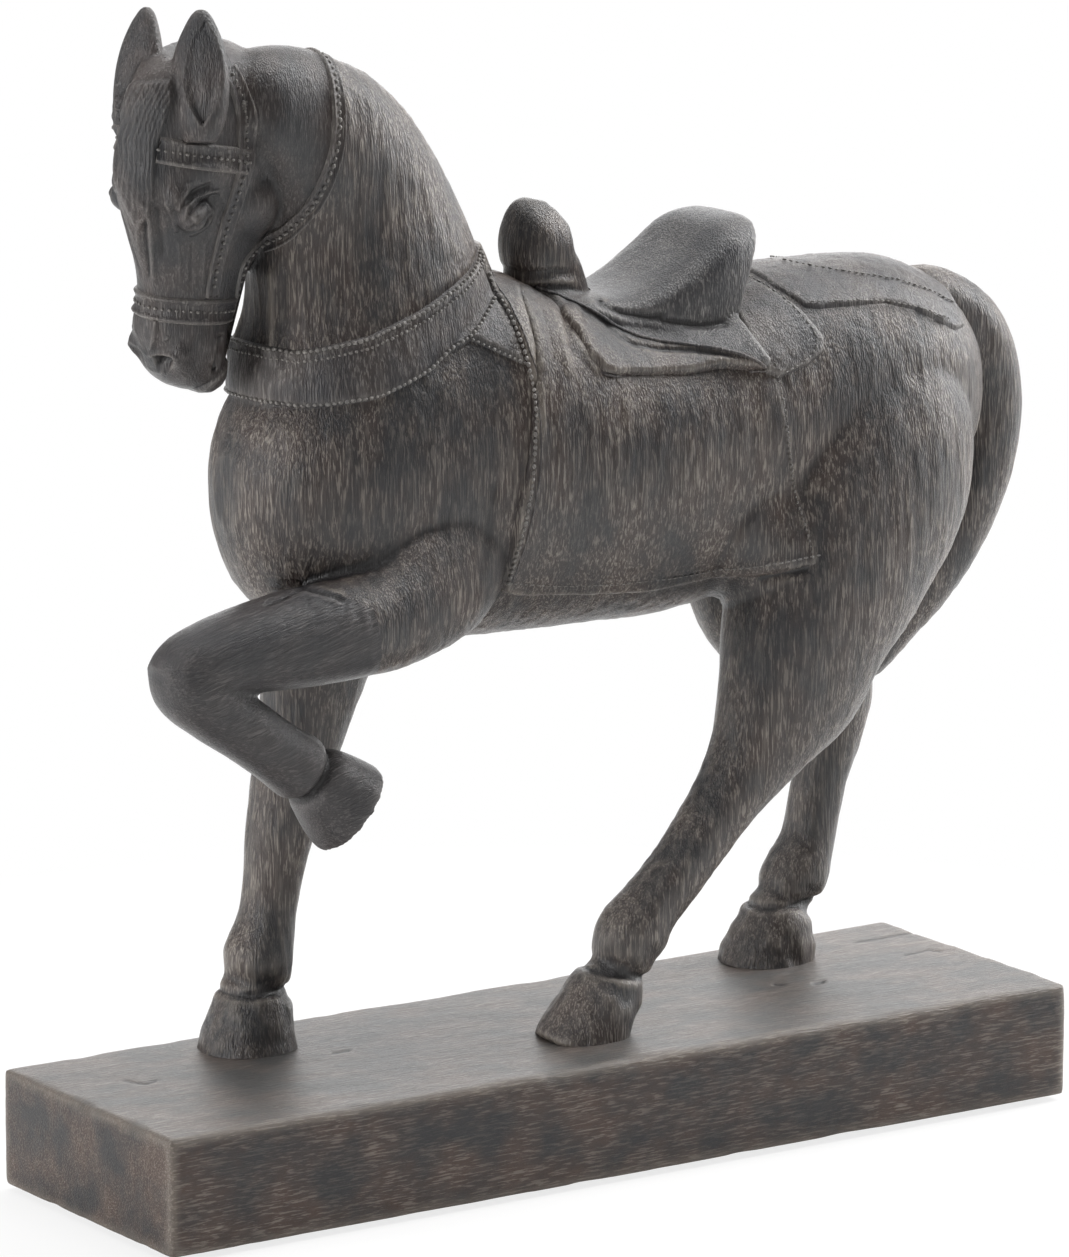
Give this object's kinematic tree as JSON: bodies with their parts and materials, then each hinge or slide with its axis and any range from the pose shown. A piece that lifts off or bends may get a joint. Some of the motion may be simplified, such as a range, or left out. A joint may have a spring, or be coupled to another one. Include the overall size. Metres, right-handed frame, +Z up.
{
  "type": "resin horse statue",
  "caption": "Saddled horse statue in cast resin, walking with one foreleg raised, fixed to a rectangular block with soft pads underneath.",
  "frame": {"origin": "centre of the block's underside", "axes": "+Z up through the horse's back, -X the way the horse walks, +Y across the block to the horse's right side"},
  "size_m": [0.3182, 0.0886, 0.3323],
  "materials": {
    "block": "satin, dark charcoal with brown dry brushing",
    "body": "satin, dark charcoal with brown dry brushing",
    "breast_collar": "satin, dark charcoal with brown dry brushing",
    "browband": "satin, dark charcoal with brown dry brushing",
    "crupper": "satin, dark charcoal with brown dry brushing",
    "head": "satin, dark charcoal with brown dry brushing",
    "head_dowel": "satin",
    "left_cheek_strap": "satin, dark charcoal with brown dry brushing",
    "left_ear": "satin, dark charcoal with brown dry brushing",
    "left_front_pad": "matte",
    "left_hind_dowel": "satin",
    "left_hind_leg": "satin, dark charcoal with brown dry brushing",
    "left_hind_pin": "satin",
    "left_rear_flap": "satin, dark charcoal with brown dry brushing",
    "left_rear_pad": "matte",
    "left_skirt": "satin, dark charcoal with brown dry brushing",
    "neck_strap": "satin, dark charcoal with brown dry brushing",
    "noseband": "satin, dark charcoal with brown dry brushing",
    "raised_foreleg": "satin, dark charcoal with brown dry brushing",
    "raised_leg_dowel": "satin",
    "right_cheek_strap": "satin, dark charcoal with brown dry brushing",
    "right_ear": "satin, dark charcoal with brown dry brushing",
    "right_front_pad": "matte",
    "right_hind_dowel": "satin",
    "right_hind_leg": "satin, dark charcoal with brown dry brushing",
    "right_hind_pin": "satin",
    "right_rear_flap": "satin, dark charcoal with brown dry brushing",
    "right_rear_pad": "matte",
    "right_skirt": "satin, dark charcoal with brown dry brushing",
    "saddle_blanket": "satin, dark charcoal with brown dry brushing",
    "saddle_pommel": "satin, dark charcoal with brown dry brushing",
    "saddle_seat": "satin, dark charcoal with brown dry brushing",
    "standing_foreleg": "satin, dark charcoal with brown dry brushing",
    "standing_leg_dowel": "satin",
    "standing_leg_pin": "satin",
    "tail": "satin, dark charcoal with brown dry brushing",
    "tail_dowel": "satin"
  },
  "bodies": {
    "root": {"block": "block", "body": "body", "breast_collar": "breast_collar", "browband": "browband", "crupper": "crupper", "head": "head", "head_dowel": "head_dowel", "left_cheek_strap": "left_cheek_strap", "left_ear": "left_ear", "left_front_pad": "left_front_pad", "left_hind_dowel": "left_hind_dowel", "left_hind_leg": "left_hind_leg", "left_hind_pin": "left_hind_pin", "left_rear_flap": "left_rear_flap", "left_rear_pad": "left_rear_pad", "left_skirt": "left_skirt", "neck_strap": "neck_strap", "noseband": "noseband", "raised_foreleg": "raised_foreleg", "raised_leg_dowel": "raised_leg_dowel", "right_cheek_strap": "right_cheek_strap", "right_ear": "right_ear", "right_front_pad": "right_front_pad", "right_hind_dowel": "right_hind_dowel", "right_hind_leg": "right_hind_leg", "right_hind_pin": "right_hind_pin", "right_rear_flap": "right_rear_flap", "right_rear_pad": "right_rear_pad", "right_skirt": "right_skirt", "saddle_blanket": "saddle_blanket", "saddle_pommel": "saddle_pommel", "saddle_seat": "saddle_seat", "standing_foreleg": "standing_foreleg", "standing_leg_dowel": "standing_leg_dowel", "standing_leg_pin": "standing_leg_pin", "tail": "tail", "tail_dowel": "tail_dowel"}
  },
  "joints": []
}
